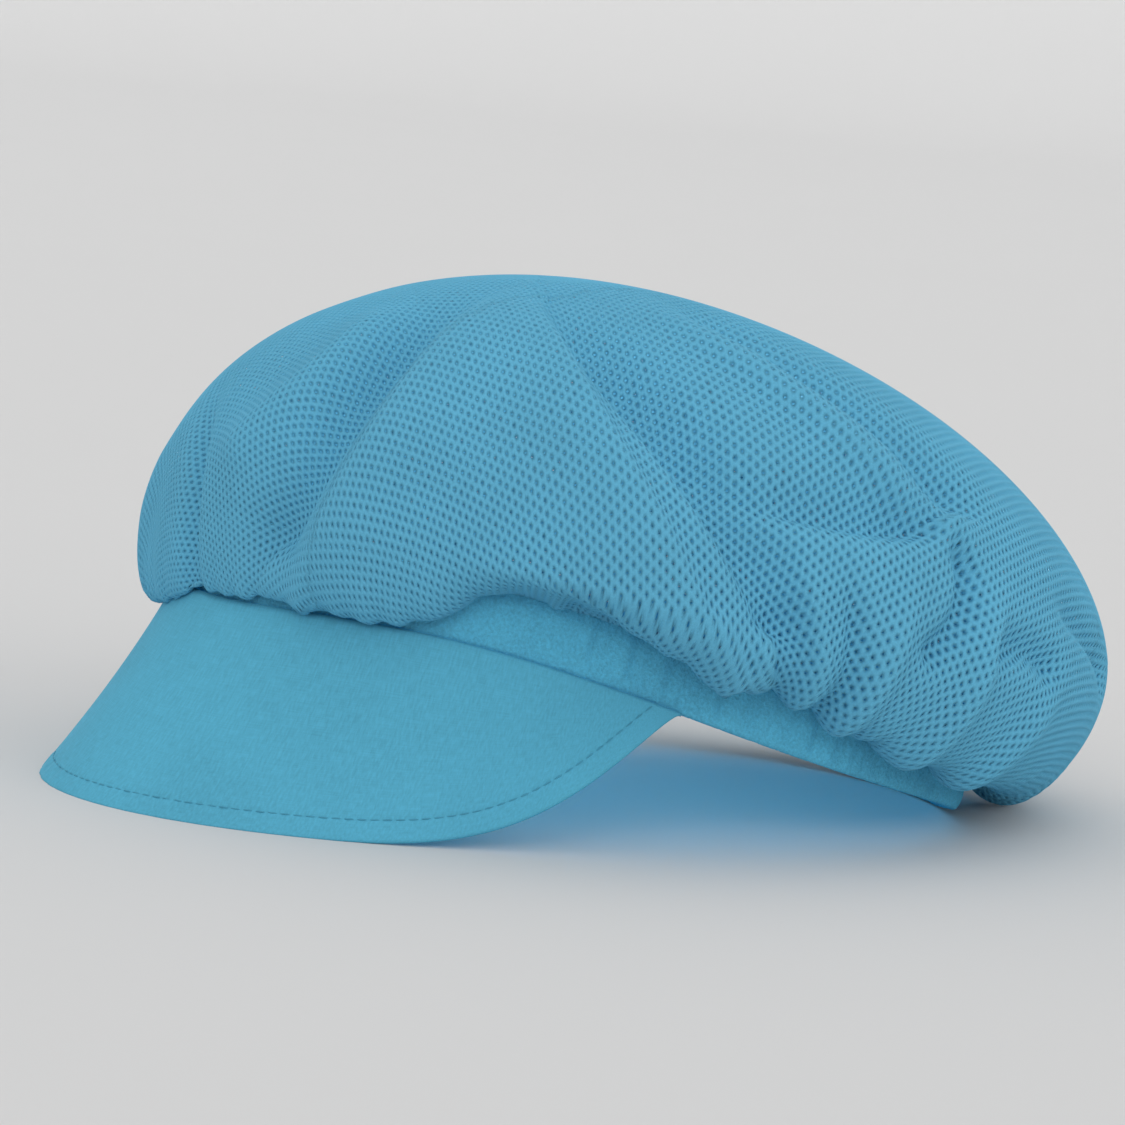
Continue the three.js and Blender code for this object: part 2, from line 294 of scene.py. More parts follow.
# Each row is a fold's name, its path as three places (azimuth, share of the way up), its
# width and its height. A width has two numbers: how far the fold reaches towards the front,
# or below a fold that runs round the head, and how far it reaches behind, or above.
FOLDS = [
    ("front ridge", [(22, 0.74), (33, 0.49), (27, 0.1)], (5, 14), 4),
    ("front valley", [(16, 0.74), (24, 0.48), (21, 0.24)], (9, 6), -8),
    ("front bulge", [(2, 0.66), (13, 0.54), (8, 0.36)], (7, 7), 3),
    ("brow crease", [(-14, 0.44), (-3, 0.28), (0, 0.05)], (4, 4), -4),
    ("side ridge", [(26, 0.76), (61, 0.51), (83, 0.14)], (18, 4), 6.5),
    ("side trough", [(34, 0.75), (66, 0.57), (84, 0.32)], (4, 14), -9.5),
    ("shelf trough", [(76, 0.52), (91, 0.51), (104, 0.54)], (4, 12), -6.5),
    ("rear ridge", [(50, 0.84), (85, 0.69), (107, 0.54)], (5, 9), 4),
    ("rear hollow", [(56, 0.88), (90, 0.76), (112, 0.61)], (6, 8), -6),
    ("turning crease", [(106, 0.55), (110, 0.46), (105, 0.34)], (4, 4), -5),
    ("lobe", [(79, 0.42), (84, 0.28), (86, 0.08)], (3, 3.5), 3),
    ("first gather", [(86, 0.44), (91, 0.28), (92, 0.06)], (3.5, 3), 3.2),
    ("gather crease", [(91, 0.44), (95, 0.3), (95, 0.08)], (3, 3), -3.5),
    ("second gather", [(101, 0.44), (99, 0.28), (99, 0.06)], (4, 4), 3),
    ("third gather", [(116, 0.46), (112, 0.3), (110, 0.06)], (5, 4), 3.5),
    ("rear dent", [(112, 0.34), (119, 0.38), (126, 0.36)], (4, 5), -4),
    ("fourth gather", [(130, 0.34), (124, 0.22), (122, 0.06)], (5, 5), 3),
    ("nape crease", [(128, 0.46), (140, 0.44), (151, 0.36)], (5, 5), -4),
    ("nape gather", [(172, 0.5), (170, 0.3), (168, 0.06)], (7, 7), 4),
    ("right nape dent", [(205, 0.62), (198, 0.4), (196, 0.1)], (9, 9), -5),
    ("right rear ridge", [(250, 0.8), (226, 0.5), (220, 0.06)], (12, 7), 5),
    ("right trough", [(284, 0.78), (258, 0.5), (248, 0.14)], (10, 8), -6),
    ("right gather", [(262, 0.4), (264, 0.25), (262, 0.06)], (6, 6), 4),
    ("right side ridge", [(316, 0.8), (284, 0.5), (276, 0.1)], (12, 7), 5),
    ("right front valley", [(330, 0.64), (312, 0.42), (306, 0.1)], (8, 8), -5),
    ("brow fold", [(340, 0.36), (331, 0.2), (328, 0.04)], (7, 7), 3),
]
FOLD_SIDE_BLEND = 3
FOLD_START = 0.15
FOLD_GROWN_AT = 0.4


def fold_line(path, steps=16):
    """Points along a fold: a smooth curve that passes through the middle place."""
    s = np.linspace(0, 1, steps + 1)
    places = []
    for k in (0, 1):
        first, through, last = [place[k] for place in path]
        middle = 2 * through - (first + last) / 2
        places.append((1 - s) ** 2 * first + 2 * s * (1 - s) * middle + s * s * last)
    return crown_point(places[0], places[1])


def distance_to_line(points, line, middle=(0, 5, 20)):
    """How far each point is from the line, and its place along it, 0 to 1.

    The distance is signed by the side that the point is on, as seen from the middle.
    """
    flat = points.reshape(-1, 3)
    best = np.full(len(flat), 1e9)
    place = np.zeros(len(flat))
    side = np.ones(len(flat))
    for k, (a, b) in enumerate(zip(line[:-1], line[1:])):
        along = b - a
        share = np.clip((flat - a) @ along / (along @ along), 0, 1)
        away = np.linalg.norm(flat - a - share[:, None] * along, axis=1)
        turn = np.cross(along, flat - a) @ (a - np.array(middle))
        nearer = away < best
        place = np.where(nearer, (k + share) / (len(line) - 1), place)
        side = np.where(nearer, np.sign(turn), side)
        best = np.minimum(best, away)
    return (best * side).reshape(points.shape[:-1]), place.reshape(points.shape[:-1])


def fold_height(points):
    """Each fold grows from its upper end and has its own width on either side."""
    height = np.zeros(points.shape[:-1])
    for _, path, (front, behind), rise in FOLDS:
        away, place = distance_to_line(points, fold_line(path))
        width = front + (behind - front) * smoothstep(away, -FOLD_SIDE_BLEND, FOLD_SIDE_BLEND)
        grow = FOLD_START + (1 - FOLD_START) * smoothstep(place, 0, FOLD_GROWN_AT)
        height += rise * grow * np.exp(-(away / width) ** 2)
    return height


print("folds:", ", ".join(name for name, *_ in FOLDS))

# %% Small gathers above the band

FINE_GATHER_DEPTH = 2.73
BROAD_GATHER_DEPTH = 1.95
GATHER_REACH = 0.26
GATHER_START = 0.03
GATHER_SEED = 5
GATHER_WAVES = (74, 88, 97, 61)
BROAD_SEED = 8
BROAD_WAVES = (24, 31, 37, 43)


def gathers(azimuth, up):
    """Small ridges that start just above the seam, the fine ones fading out first."""
    fine = ripple(azimuth / 360, GATHER_SEED, GATHER_WAVES)
    broad = ripple(azimuth / 360, BROAD_SEED, BROAD_WAVES)
    fade = np.clip(1 - up / GATHER_REACH, 0, 1)
    start = smoothstep(up, 0.0, GATHER_START)
    return start * (FINE_GATHER_DEPTH * fine * fade ** 2 + BROAD_GATHER_DEPTH * broad * fade)


# %% [markdown]
# ## Turning a rule into a mesh
#
# A grid of points has a row for each share of the way up and a column for each azimuth. Its
# normals come from its own neighbours. `grid_normals` is used for every cloth here, and
# `cloth_shell` gives a grid its two faces: the thickness goes smoothly to nothing at the
# edges, so the shell closes by itself with a soft rounded edge.

# %% Grid helpers


def grid_normals(points, closed):
    """Normals from each point's neighbours; a closed grid's last column meets its first."""
    if closed:
        east = np.roll(points, -1, 1) - np.roll(points, 1, 1)
    else:
        east = np.gradient(points, axis=1)
    north = np.gradient(points, axis=0)
    return unit(np.cross(east, north))


def grid_faces(rows, columns, closed, start=0, flip=False):
    steps = columns if closed else columns - 1
    j, i = np.meshgrid(np.arange(rows - 1), np.arange(steps), indexing="ij")
    k = (i + 1) % columns
    corners = [j * columns + i, j * columns + k, (j + 1) * columns + k, (j + 1) * columns + i]
    faces = np.stack(corners, -1).reshape(-1, 4) + start
    return faces[:, ::-1] if flip else faces


def mesh_object(name, vertices, faces, uvs=None):
    mesh = bpy.data.meshes.new(name)
    mesh.from_pydata(vertices.tolist(), [], faces.tolist())
    if uvs is not None:
        layer = mesh.uv_layers.new(name="OFBake")
        order = np.zeros(len(mesh.loops), np.int32)
        mesh.loops.foreach_get("vertex_index", order)
        layer.data.foreach_set("uv", uvs[order].astype(np.float32).ravel())
    mesh.shade_smooth()
    mesh.update()
    return place_in_scene(name, mesh)


def triangle_count(thing):
    thing.data.calc_loop_triangles()
    return len(thing.data.loop_triangles)


# %% [markdown]
# ## The crown's flat pattern
#
# The net is knitted flat, so its holes are even only when the cloth lies flat. The pattern
# is a disc: a point's distance from the centre is its real distance down the dome, and its
# angle is its azimuth. Each point of the disc remembers, as attributes, its sewn place, its
# sewn normal and how far the net's holes are pulled open there. Whatever is drawn on the
# disc can later be carried to the cap.

# %% Lay out the flat pattern

CROWN_COLUMNS = 720
CROWN_ROWS = 170
LOW_ROWS = 60
TOP_ROW = 0.9995
FOLDS_START = 0.12
NET_ABOVE_FLOOR = 0.45

# The net is pulled hardest above the wearer's left temple. The openness there, at the far
# side, in a hollow and in the gathers are shares of the most that a hole can open.
PULLED_AT = 68
SLACK_SHARE = 0.36
PULLED_SHARE = 0.92
HOLLOW_SHARE = 0.2
HOLLOW_DEPTH = 6
GATHERED_SHARE = 0.18


def net_openness(azimuth, up, raised):
    """Holes open where the net is stretched, and half close where it is slack or gathered."""
    pulled = 0.5 + 0.5 * np.cos(np.radians(azimuth - PULLED_AT))
    share = SLACK_SHARE + (PULLED_SHARE - SLACK_SHARE) * smoothstep(pulled, 0.1, 0.8)
    share = share + HOLLOW_SHARE * np.clip(-raised / HOLLOW_DEPTH, -0.5, 1)
    reach = 0.2 + 0.2 * np.cos(np.radians(azimuth)) ** 2
    return share * (GATHERED_SHARE + (1 - GATHERED_SHARE) * smoothstep(up / reach, 0.25, 1.3))


def crown_rows():
    """Shares of the way up, closer together below, where the cloth turns under."""
    low = np.linspace(0, WIDEST_AT, LOW_ROWS)
    return np.concatenate([low, np.linspace(WIDEST_AT, TOP_ROW, CROWN_ROWS - LOW_ROWS + 1)[1:]])


def crown_surface():
    azimuth = np.arange(CROWN_COLUMNS) * 360 / CROWN_COLUMNS
    grid_up, grid_azimuth = np.meshgrid(crown_rows(), azimuth, indexing="ij")
    smooth = crown_point(grid_azimuth, grid_up)
    raised = fold_height(smooth) * smoothstep(grid_up, 0, FOLDS_START)
    raised = raised + gathers(grid_azimuth, grid_up)
    folded = smooth + grid_normals(smooth, True) * raised[..., None]
    open_share = net_openness(grid_azimuth, grid_up, raised)
    steps = np.linalg.norm(np.diff(smooth, axis=0), axis=-1)
    down = np.zeros(grid_up.shape)
    down[:-1] = np.cumsum(steps[::-1], axis=0)[::-1]
    down = down + np.linalg.norm(smooth[-1:, :, :2] - np.array([0, CROWN_CENTRE_Y]), axis=-1)
    return np.radians(grid_azimuth), down, folded, open_share


def flat_pattern(name, flat, place, normal, open_share, closed):
    """A flat mesh whose points carry their sewn place in metres, normal and openness."""
    rows, columns = place.shape[:2]
    pattern = mesh_object(name, flat.reshape(-1, 3) * MM, grid_faces(rows, columns, closed))
    for key, value in (("sewn_place", place * MM), ("sewn_normal", normal)):
        layer = pattern.data.attributes.new(key, "FLOAT_VECTOR", "POINT")
        layer.data.foreach_set("vector", value.reshape(-1).astype(np.float32))
    layer = pattern.data.attributes.new("open_share", "FLOAT", "POINT")
    layer.data.foreach_set("value", open_share.reshape(-1).astype(np.float32))
    return pattern


def lay_out_crown():
    angle, down, folded, open_share = crown_surface()
    place = at_rest(folded)
    place[..., 2] = np.maximum(place[..., 2], NET_ABOVE_FLOOR)
    flat = np.stack([down * np.sin(angle), -down * np.cos(angle), 0 * down], -1)
    print("disc radius, mm:", down[0].min().round(), "to", down[0].max().round())
    return flat_pattern("crown_pattern", flat, place, grid_normals(place, True), open_share, True)


crown_pattern = lay_out_crown()

# %% [markdown]
# ## The net
#
# The net is warp knit with round holes in staggered rows, half as far apart as the holes in
# a row, so the holes stand on a square lattice set on its corner. It could be a picture on a
# smooth shell, but from close by a picture shows no far side through the holes. So the holes
# are real, and Geometry Nodes make them: a grid is sheared into triangles, its dual has a
# six-sided cell for each hole, a smaller cell is cut out of it, and the strands that are left
# are given a lens-shaped section. All of that happens on the flat pattern. At the end every
# point is carried to its sewn place. One tree serves the crown and the band.

# %% Helpers for node trees


class Tree:
    """Short names for adding and wiring the nodes of a tree."""

    def __init__(self, tree):
        self.tree = tree

    def wire(self, source, target):
        self.tree.links.new(source, target)

    def put(self, node, **inputs):
        """Sets or wires inputs. A key is an input's name, with _ for a space, or its number."""
        for key, value in inputs.items():
            index = int(key[1:]) if key[0] == "_" else key.replace("_", " ")
            if isinstance(value, bpy.types.NodeSocket):
                self.wire(value, node.inputs[index])
            else:
                node.inputs[index].default_value = value
        return node

    def add(self, kind, **values):
        """Adds a node. A key in lower case is a setting, and any other key is an input."""
        geometric = hasattr(bpy.types, "GeometryNode" + kind)
        node = self.tree.nodes.new(("GeometryNode" if geometric else "ShaderNode") + kind)
        for key, value in values.items():
            if key[0].islower():
                setattr(node, key, value)
        return self.put(node, **{k: v for k, v in values.items() if not k[0].islower()})

    def out(self, kind, **values):
        """Adds a node and gives its first output."""
        return self.add(kind, **values).outputs[0]

    def math(self, operation, a, b=0.0):
        return self.out("Math", operation=operation, _0=a, _1=b)

    def plus(self, a, b):
        return self.math("ADD", a, b)

    def minus(self, a, b):
        return self.math("SUBTRACT", a, b)

    def times(self, a, b):
        return self.math("MULTIPLY", a, b)

    def vector(self, operation, a, b):
        return self.out("VectorMath", operation=operation, _0=a, _1=b)

    def scaled(self, a, by):
        return self.out("VectorMath", operation="SCALE", _0=a, Scale=by)

    def position(self):
        return self.out("InputPosition")

    def split(self, vector):
        return self.add("SeparateXYZ", _0=vector).outputs


def new_tree(name, inputs, output):
    """A Geometry Nodes tree with named inputs and one output, and its inputs' sockets."""
    t = Tree(bpy.data.node_groups.new(name, "GeometryNodeTree"))
    for key, kind in inputs.items():
        t.tree.interface.new_socket(key, in_out="INPUT", socket_type="NodeSocket" + kind)
    t.tree.interface.new_socket(output, in_out="OUTPUT", socket_type="NodeSocketGeometry")
    return t, t.tree.nodes.new("NodeGroupInput").outputs


def finish_tree(t, geometry, material):
    """Every tree ends in real geometry, shaded smooth, with its material."""
    real = t.out("RealizeInstances", Geometry=geometry)
    smooth = t.out("SetShadeSmooth", Geometry=real)
    painted = t.out("SetMaterial", Geometry=smooth, Material=material)
    t.wire(painted, t.tree.nodes.new("NodeGroupOutput").inputs[0])
    return t.tree


# %% Attributes in a tree


def store(t, geometry, name, value, kind="FLOAT", domain="POINT"):
    return t.out("StoreNamedAttribute", data_type=kind, domain=domain,
                 Geometry=geometry, Name=name, Value=value)


def named(t, name, kind="FLOAT"):
    return t.out("InputNamedAttribute", data_type=kind, Name=name)


def on_pattern(t, given, value, kind="FLOAT_VECTOR"):
    """The value that the flat pattern has at its nearest place."""
    return t.out("SampleNearestSurface", data_type=kind, Mesh=given["Pattern"],
                 Value=value)


# %% The tree that cuts and sews the net

# Lengths are in metres. The hole share is of the cell's width, and the narrowing makes it less
# one way of the flat cloth. The pit depth is how far a hole's rim sinks towards the cloth's
# middle: at 1 the front meets the back there.
NET_INPUTS = {
    "Pattern": "Geometry", "Columns": "Int", "Rows": "Int", "Pitch": "Float",
    "Row Pitch": "Float", "Hole Share": "Float", "Hole Narrowing": "Float",
    "Pit Depth": "Float", "Wobble": "Float", "Thickness": "Float", "Cloth Size": "Float",
    "Sector Middle": "Float", "Sector Width": "Float", "Material": "Material",
}
OUTSIDE_SHARE = 0.3
KNOT_NOISE_SCALE = 420.0
WELD_DISTANCE = 0.000004


def honeycomb(t, given):
    """A staggered grid of points, joined into triangles, whose dual is a honeycomb."""
    width = t.times(t.minus(given["Columns"], 1.0), given["Pitch"])
    height = t.times(t.minus(given["Rows"], 1.0), given["Row Pitch"])
    grid = t.out("MeshGrid", Size_X=width, Size_Y=height,
                 Vertices_X=given["Columns"], Vertices_Y=given["Rows"])
    up = t.plus(t.split(t.position())[1], t.times(height, 0.5))
    row = t.math("ROUND", t.math("DIVIDE", up, given["Row Pitch"]))
    odd = t.math("MODULO", row, 2.0)
    shift = t.out("CombineXYZ", X=t.times(t.times(odd, given["Pitch"]), 0.5))
    moved = t.out("SetPosition", Geometry=grid, Offset=shift)
    cut = t.out("Triangulate", quad_method="SHORTEST_DIAGONAL", Mesh=moved)
    return t.out("DualMesh", Mesh=cut)


def keep_cells(t, given, cells):
    """Drops the cells outside the pattern or outside this piece's sector."""
    place = t.position()
    away = t.add("VectorMath", operation="DISTANCE", _0=place,
                 _1=on_pattern(t, given, t.position()))
    outside = t.math("GREATER_THAN", away.outputs["Value"], t.times(given["Pitch"], OUTSIDE_SHARE))
    flat = t.split(place)
    angle = t.math("ARCTAN2", flat[0], t.times(flat[1], -1.0))
    turned = t.math("PINGPONG", t.minus(angle, given["Sector Middle"]), math.pi)
    beyond = t.math("GREATER_THAN", turned, t.times(given["Sector Width"], 0.5))
    return t.out("DeleteGeometry", domain="FACE", Geometry=cells,
                 Selection=t.math("MAXIMUM", outside, beyond))


def wobble(t, given, cells):
    """Pushes the knots a little out of line, as yarn is never quite even."""
    noise = t.add("TexNoise", Scale=KNOT_NOISE_SCALE, Detail=1.0, Vector=t.position())
    push = t.vector("SUBTRACT", noise.outputs["Color"], (0.5, 0.5, 0.5))
    flat = t.vector("MULTIPLY", push, (1.0, 1.0, 0.0))
    return t.out("SetPosition", Geometry=cells,
                 Offset=t.scaled(flat, t.times(given["Wobble"], 4.0)))


def cut_holes(t, given, cells):
    """Shrinks a copy of each cell inside the cell and deletes it: the hole.

    With a hole share of zero each copy shrinks to a point, and the cell is a closed pit.
    """
    inset = t.add("ExtrudeMesh", mode="FACES", Mesh=cells, Offset_Scale=0.0,
                  Individual=True)
    top = inset.outputs["Top"]
    marked = store(t, inset.outputs["Mesh"], "rim", top)
    open_share = on_pattern(t, given, named(t, "open_share"), "FLOAT")
    shrunk = t.out("ScaleElements", domain="FACE", Geometry=marked, Selection=top,
                   Scale=t.times(given["Hole Share"], open_share))
    narrow = t.out("ScaleElements", domain="FACE", scale_mode="SINGLE_AXIS",
                   Geometry=shrunk, Selection=top, Scale=given["Hole Narrowing"],
                   Axis=(1.0, 0.0, 0.0))
    is_open = t.math("GREATER_THAN", given["Hole Share"], 0.0)
    return t.out("DeleteGeometry", domain="FACE", Geometry=narrow,
                 Selection=t.times(top, is_open))


def give_thickness(t, net):
    """A front, a back that is flipped, and side walls round the outer edge."""
    front = t.add("ExtrudeMesh", mode="FACES", Mesh=net, Offset_Scale=0.0,
                  Individual=False)
    back = t.out("FlipFaces", Mesh=net)
    both = t.add("JoinGeometry")
    t.wire(store(t, front.outputs["Mesh"], "front", front.outputs["Top"]), both.inputs[0])
    t.wire(store(t, back, "front", 0.0), both.inputs[0])
    return both.outputs[0]


def lay_out_uv(t, given, geometry):
    """The flat place as a UV map, the front in the left half and the back in the right."""
    flat = t.split(t.position())
    size = given["Cloth Size"]
    u = t.plus(t.math("DIVIDE", flat[0], t.times(size, 2.0)), 0.25)
    back = t.times(t.minus(1.0, named(t, "front")), 0.5)
    v = t.plus(t.math("DIVIDE", flat[1], size), 0.5)
    pair = t.out("CombineXYZ", X=t.plus(u, back), Y=v)
    return store(t, geometry, "OFBake", pair, "FLOAT2", "CORNER")


def sew(t, given, geometry):
    """Carries every point to its sewn place, and swells the strands."""
    lift = t.minus(t.times(named(t, "front"), 2.0), 1.0)
    raised = t.minus(1.0, t.times(named(t, "rim"), given["Pit Depth"]))
    rise = t.times(t.times(lift, raised), t.times(given["Thickness"], 0.5))
    normal = on_pattern(t, given, named(t, "sewn_normal", "FLOAT_VECTOR"))
    place = on_pattern(t, given, named(t, "sewn_place", "FLOAT_VECTOR"))
    moved = t.out("SetPosition", Geometry=geometry,
                  Position=t.vector("ADD", place, t.scaled(normal, rise)))
    return t.out("MergeByDistance", Geometry=moved, Distance=WELD_DISTANCE)


def make_net_tree():
    t, given = new_tree("net_cloth_tree", NET_INPUTS, "Net")
    cells = keep_cells(t, given, wobble(t, given, honeycomb(t, given)))
    cloth = give_thickness(t, cut_holes(t, given, cells))
    return finish_tree(t, sew(t, given, lay_out_uv(t, given, cloth)), given["Material"])


net_tree = make_net_tree()

# %% Run a tree and keep its result as a plain mesh


def run_tree(host, tree, name, values):
    modifier = host.modifiers.new("cloth", "NODES")
    modifier.node_group = tree
    keys = {item.name: item.identifier for item in tree.interface.items_tree
            if item.in_out == "INPUT"}
    for key, value in values.items():
        modifier[keys[key]] = value
    bpy.context.view_layer.update()
    graph = bpy.context.evaluated_depsgraph_get()
    mesh = bpy.data.meshes.new_from_object(host.evaluated_get(graph), depsgraph=graph)
    host.modifiers.remove(modifier)
    mesh.name = name
    made = place_in_scene(name, mesh)
    print(name, "has", triangle_count(made), "triangles")
    return made


# %% [markdown]
# ## Finishes
#
# All three cloths are dyed the same sky blue, and differ in how they are made. The net and
# the band are matt spun yarn, so they get a soft noise in colour and a fine bump for the
# fibres. A flat colour would look like plastic. The colours come from the record's material
# slots, and each material adds what the yarn does to light. The band's colour is also raised
# as painted light that cancels the crown's shade on it, and the thread's is lowered as
# painted shade for the sunk row of stitches.

# %% Colours

SHEEN_ROUGHNESS = 0.6
CLOTH_SHINE = 0.15


def shade(colour, by):
    return tuple(min(1.0, c * by) for c in colour[:3]) + (1.0,)


def slot_colour(name, by=1.0):
    rows = frame["record"]["materials"]
    return shade(next(row["base_color"] for row in rows if row.get("slot") == name), by)


def new_material(name, roughness):
    """A material, its tree and its shader."""
    material = bpy.data.materials.new(name)
    material.use_nodes = True
    t = Tree(material.node_tree)
    shader = material.node_tree.nodes["Principled BSDF"]
    t.put(shader, Roughness=roughness)
    return material, t, shader


def new_cloth(name, colour, roughness, sheen):
    """Cloth hardly shines, but its loose fibres catch light at the rim."""
    material, t, shader = new_material(name, roughness)
    material.diffuse_color = colour
    t.put(shader, Sheen_Weight=sheen, Sheen_Roughness=SHEEN_ROUGHNESS, Sheen_Tint=colour,
          Specular_IOR_Level=CLOTH_SHINE)
    return material, t, shader


def vary_colour(t, shader, pattern, colour, places, shades):
    """Runs the base colour from one shade to another between two values of a pattern."""
    ramp = t.add("ValToRGB", Fac=pattern)
    for stop, place, by in zip(ramp.color_ramp.elements, places, shades):
        stop.position = place
        stop.color = shade(colour, by)
    t.wire(ramp.outputs[0], shader.inputs["Base Color"])


def mix(t, a, share, b):
    return t.plus(t.times(a, share), t.times(b, 1 - share))


def noise(t, place, scale, detail, roughness=0.5):
    return t.out("TexNoise", Vector=place, Scale=scale, Detail=detail,
                 Roughness=roughness)


def bump(t, shader, height, strength, distance):
    relief = t.out("Bump", Strength=strength, Distance=distance, Height=height)
    t.wire(relief, shader.inputs["Normal"])


# %% Knitted cloth and thread


def cloth_material(name, colour, roughness, sheen, yarn_scale, relief, speckle=0.13):
    material, t, shader = new_cloth(name, colour, roughness, sheen)
    place = t.add("TexCoord").outputs["Object"]
    yarn = noise(t, place, yarn_scale, 4.0, 0.7)
    pattern = mix(t, noise(t, place, 38.0, 3.0), 0.3, yarn)
    vary_colour(t, shader, pattern, colour, (0.32, 0.68), (1 - speckle, 1 + speckle))
    bump(t, shader, yarn, relief, 0.0008)
    return material


net_finish = cloth_material("net_yarn", slot_colour("net_cloth", 1.22), roughness=0.85,
                            sheen=0.25, yarn_scale=2600.0, relief=0.25)
# The band's colour is raised half again: painted light that cancels the shade the crown casts on the
# band.
band_painted_light_finish = cloth_material("band_yarn_painted_light", slot_colour("band_cloth", 1.5), roughness=0.88,
                             sheen=0.35, yarn_scale=1300.0, relief=1.0, speckle=0.26)
# The thread is painted darker than the visor: painted shade for the sunk row of stitches.
thread_painted_shade_finish = cloth_material("sewing_thread_painted_shade", slot_colour("visor_cloth", 0.8), roughness=0.7,
                               sheen=0.1, yarn_scale=5000.0, relief=0.3)

# %% [markdown]
# The visor's cloth is a plain weave of slightly uneven yarn. The yarns run down and across
# the visor, so this pattern reads the visor's own UV map: a noise that is stretched a lot
# one way is a set of yarns, and a second one crosses it.

# %% Woven cloth


def yarns(t, place, along, across, shift):
    """Long thin streaks: a noise with very different scales down and across the cloth."""
    stretch = t.out("Mapping", Vector=place, Location=(shift, shift, 0.0),
                    Scale=(across, along, 1.0))
    return noise(t, stretch, 1.0, 2.0, 0.6)


def woven_material(name, colour):
    material, t, shader = new_cloth(name, colour, roughness=0.8, sheen=0.2)
    flat = t.out("UVMap", uv_map="OFBake")
    warp = yarns(t, flat, along=26.0, across=1150.0, shift=3.0)
    weft = yarns(t, flat, along=300.0, across=90.0, shift=7.0)
    weave = mix(t, warp, 0.62, weft)
    place = t.add("TexCoord").outputs["Object"]
    pattern = mix(t, weave, 0.72, noise(t, place, 30.0, 3.0))
    vary_colour(t, shader, pattern, colour, (0.3, 0.7), (0.78, 1.2))
    bump(t, shader, weave, 0.35, 0.0003)
    return material


visor_finish = woven_material("visor_weave", slot_colour("visor_cloth"))

# %% [markdown]
# ## The crown's net, in three sectors
#
# A single mesh of the whole crown would be half a million triangles. Three sectors of the
# same disc keep each piece light. They meet along strands, and a join is only a faint line.

# %% Make the crown

NET_PITCH = 3.05
NET_COLUMNS = 130
NET_ROWS = 258
HOLE_SHARE = 0.24
HOLE_NARROWING = 0.67
NET_WOBBLE = 0.1
STRAND_THICKNESS = 0.4
SECTORS = [("crown_left", 90), ("crown_back", 210), ("crown_front", 330)]


def crown_sector(name, middle):
    values = {"Columns": NET_COLUMNS, "Rows": NET_ROWS, "Pitch": NET_PITCH * MM,
              "Row Pitch": NET_PITCH / 2 * MM, "Hole Share": HOLE_SHARE,
              "Hole Narrowing": HOLE_NARROWING, "Pit Depth": 1.0, "Wobble": NET_WOBBLE * MM,
              "Thickness": STRAND_THICKNESS * MM, "Cloth Size": 0.4,
              "Sector Middle": math.radians(middle), "Sector Width": math.radians(120),
              "Material": net_finish}
    piece = run_tree(crown_pattern, net_tree, name, values)
    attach(piece, "root")
    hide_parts("crown")


for name, middle in SECTORS:
    crown_sector(name, middle)
bpy.data.objects.remove(crown_pattern)

# %% [markdown]
# ## The band
#
# The band is a casing: a strip of net, folded over an elastic strip and gathered by it. The
# gathers crowd its cells and press its holes shut, so here the cells are small, each hole is
# only a pit, and the strip looks dense and a little fuzzy. The flat strip runs from the inner
# top edge, down inside, round the hem and up outside, so the same net tree can sew it. The
# elastic is a plain flat strip that fills the casing.

# %% Lay out the casing

BAND_HALF_WALL = 1.1
CASING_COLUMNS = 720
CASING_ROWS = 40
CASING_PITCH = 1.05
CASING_ROW_PITCH = 1.2
CASING_ABOVE_FLOOR = 0.35
WHOLE_TURN = 7.0
PLEAT_DEPTH = 0.8
FINE_PLEAT_DEPTH = 0.5
FINE_PLEAT_SEED = 11
FINE_PLEAT_WAVES = (130, 151, 173)
INSIDE_PLEATS = -0.6
# Where the visor is sewn on, the casing lies flat along its lower edge.
SEWN_UNTIL = (74, 86)
SEAM_HEIGHT = (2.0, 5.0)


def casing_section(steps):
    """Offsets outward and up, and the length so far, along the casing's section."""
    wall = BAND_HALF_WALL
    bend = np.linspace(math.pi, 2 * math.pi, 12)
    out = np.concatenate([[-0.5, -wall], wall * np.cos(bend), [wall, wall, 0.3]])
    rise = np.concatenate([[13.2, 11.5], wall * (1 + np.sin(bend)), [6.0, 12.0, 14.6]])
    length = np.concatenate([[0], np.cumsum(np.hypot(np.diff(out), np.diff(rise)))])
    along = np.linspace(0, length[-1], steps)
    return np.interp(along, length, out), np.interp(along, length, rise), along


def pleats(azimuth, out, rise):
    """How far the gathered casing swells: outward on its outer side, inward on its inner."""
    clear = smoothstep(np.abs(azimuth), *SEWN_UNTIL)
    free = clear + (1 - clear) * smoothstep(rise, *SEAM_HEIGHT)
    turns = (azimuth % 360) / 360
    broad = PLEAT_DEPTH * ripple(turns, GATHER_SEED, GATHER_WAVES)
    fine = FINE_PLEAT_DEPTH * ripple(turns, FINE_PLEAT_SEED, FINE_PLEAT_WAVES)
    start = smoothstep(rise / BAND_HEIGHT, 0.02, 0.25)
    return np.where(out > 0, 1.0, INSIDE_PLEATS) * (broad + fine) * free * start


def casing_surface():
    out, rise, along = casing_section(CASING_ROWS)
    azimuth = np.linspace(-180, 180, CASING_COLUMNS + 1)
    rise_grid, grid = np.meshgrid(rise, azimuth, indexing="ij")
    out_grid = np.repeat(out[:, None], len(azimuth), 1)
    swell = pleats(grid, out_grid, rise_grid)
    point = band_point(grid, rise_grid / BAND_HEIGHT)
    point = point + outward(grid) * (out_grid + swell)[..., None]
    steps = np.linalg.norm(np.diff(band_point(azimuth, 0 * azimuth), axis=0), axis=-1)
    run = np.concatenate([[0], np.cumsum(steps)])
    flat_x, flat_y = np.meshgrid(run - run[-1] / 2, along - along[-1] / 2)
    return np.stack([flat_x, flat_y, 0 * flat_x], -1), at_rest(point), run[-1], along[-1]


